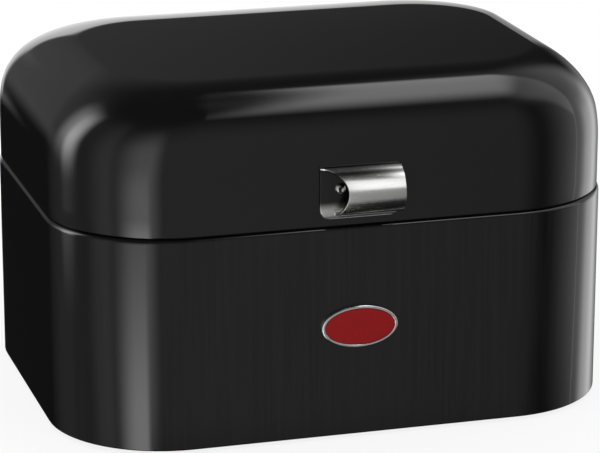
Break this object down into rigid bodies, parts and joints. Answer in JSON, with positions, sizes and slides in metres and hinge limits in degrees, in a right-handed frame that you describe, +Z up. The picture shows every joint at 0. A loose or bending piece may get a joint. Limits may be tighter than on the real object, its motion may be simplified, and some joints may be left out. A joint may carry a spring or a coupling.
{
  "type": "bread bin",
  "caption": "Rounded sheet-steel bread bin: a rectangular bin with large corner radii and a hinged pillow-shaped lid that has a curled strip handle on its front.",
  "frame": {"origin": "bottom centre of the whole object's bounding box, on the surface it stands on", "axes": "+Z up, +X to the right of someone facing the front, front faces -Y"},
  "size_m": [0.28, 0.2402, 0.176],
  "materials": {
    "black_enamel": "gloss powder coat",
    "handle_steel": "satin, brushed along the handle",
    "hinge_steel": "satin",
    "badge_chrome": "polished",
    "badge_enamel": "gloss enamel",
    "foot_rubber": "matt"
  },
  "bodies": {
    "bin": {"bin_wall": "black_enamel", "base_pan": "black_enamel", "mouth_collar": "black_enamel", "foot_front_left": "foot_rubber", "foot_front_right": "foot_rubber", "foot_back_left": "foot_rubber", "foot_back_right": "foot_rubber", "badge_plate": "badge_chrome", "badge_inlay": "badge_enamel", "hinge_bin_leaf_left": "hinge_steel", "hinge_bin_leaf_right": "hinge_steel", "hinge_pin_left": "hinge_steel", "hinge_pin_right": "hinge_steel"},
    "lid": {"lid_shell": "black_enamel", "handle": "handle_steel", "hinge_lid_leaf_left": "hinge_steel", "hinge_lid_leaf_right": "hinge_steel"}
  },
  "joints": [
    {"name": "lid_hinge", "type": "hinge", "parent": "bin", "child": "lid", "pos_m": [0, 0.11588, 0.10685], "axis": [-1, 0, 0], "range_deg": [0, 95]}
  ]
}
